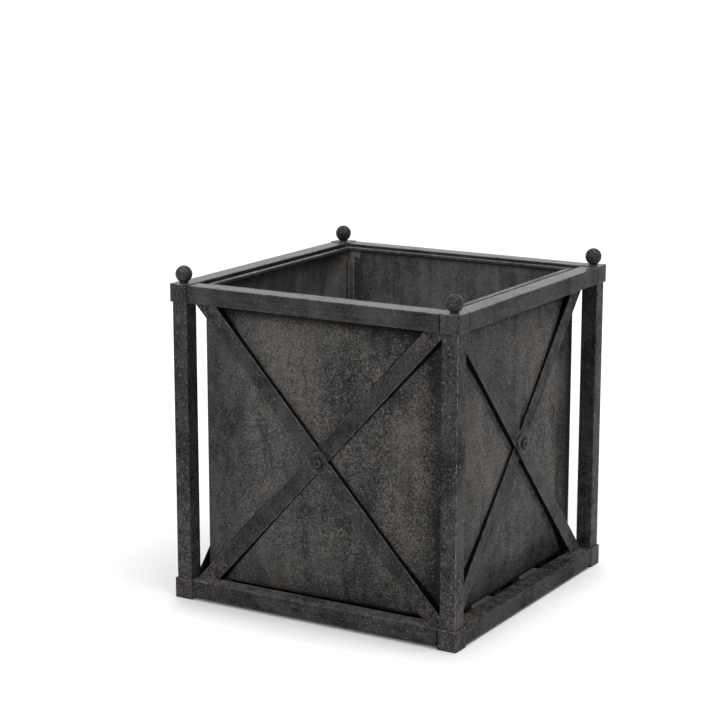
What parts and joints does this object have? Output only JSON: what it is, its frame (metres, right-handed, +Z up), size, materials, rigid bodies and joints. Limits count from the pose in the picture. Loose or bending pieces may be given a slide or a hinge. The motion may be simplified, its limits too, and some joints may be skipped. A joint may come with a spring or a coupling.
{
  "type": "versailles planter",
  "caption": "Square iron planter frame with ball finials and riveted diagonal crosses on its sides, holding a lift-out sheet metal liner.",
  "frame": {"origin": "on the floor under the centre of the planter", "axes": "+Z up; the front faces -Y and the right side faces +X; all four sides of the frame are alike"},
  "size_m": [0.476, 0.476, 0.5013],
  "materials": {
    "frame_iron": "dark waxed patina, satin, rubbed light on the edges",
    "brace_iron": "dark waxed patina, satin, with mottled grey",
    "worn_iron": "dark patina, rougher and more worn",
    "liner_sheet": "mottled brown-grey aged zinc look, matt",
    "liner_edge": "aged sheet metal, slightly lighter than the walls"
  },
  "bodies": {
    "frame": {"foot_front_left": "worn_iron", "foot_front_right": "worn_iron", "foot_back_right": "worn_iron", "foot_back_left": "worn_iron", "post_front_left": "frame_iron", "post_front_right": "frame_iron", "post_back_right": "frame_iron", "post_back_left": "frame_iron", "cap_front_left": "frame_iron", "cap_front_right": "frame_iron", "cap_back_right": "frame_iron", "cap_back_left": "frame_iron", "finial_front_left": "worn_iron", "finial_front_right": "worn_iron", "finial_back_right": "worn_iron", "finial_back_left": "worn_iron", "lower_rail_front": "frame_iron", "lower_rail_right": "frame_iron", "lower_rail_back": "frame_iron", "lower_rail_left": "frame_iron", "upper_rail_front": "frame_iron", "upper_rail_right": "frame_iron", "upper_rail_back": "frame_iron", "upper_rail_left": "frame_iron", "under_brace_front": "brace_iron", "under_brace_right": "brace_iron", "under_brace_back": "brace_iron", "under_brace_left": "brace_iron", "over_brace_front": "brace_iron", "over_brace_right": "brace_iron", "over_brace_back": "brace_iron", "over_brace_left": "brace_iron", "rosette_front": "worn_iron", "rosette_right": "worn_iron", "rosette_back": "worn_iron", "rosette_left": "worn_iron", "brace_rivets": "worn_iron", "slat_front": "frame_iron", "slat_middle": "frame_iron", "slat_back": "frame_iron"},
    "liner": {"liner_floor": "liner_sheet", "liner_wall_front": "liner_sheet", "liner_wall_right": "liner_sheet", "liner_wall_back": "liner_sheet", "liner_wall_left": "liner_sheet", "liner_rim_front": "liner_edge", "liner_rim_right": "liner_edge", "liner_rim_back": "liner_edge", "liner_rim_left": "liner_edge", "liner_strip_front_left": "liner_edge", "liner_strip_front_right": "liner_edge", "liner_strip_back_right": "liner_edge", "liner_strip_back_left": "liner_edge", "liner_pads": "liner_sheet"}
  },
  "joints": [
    {"name": "liner_lift", "type": "slide", "parent": "frame", "child": "liner", "axis": [0, 0, 1], "range_m": [0, 0.482]}
  ]
}
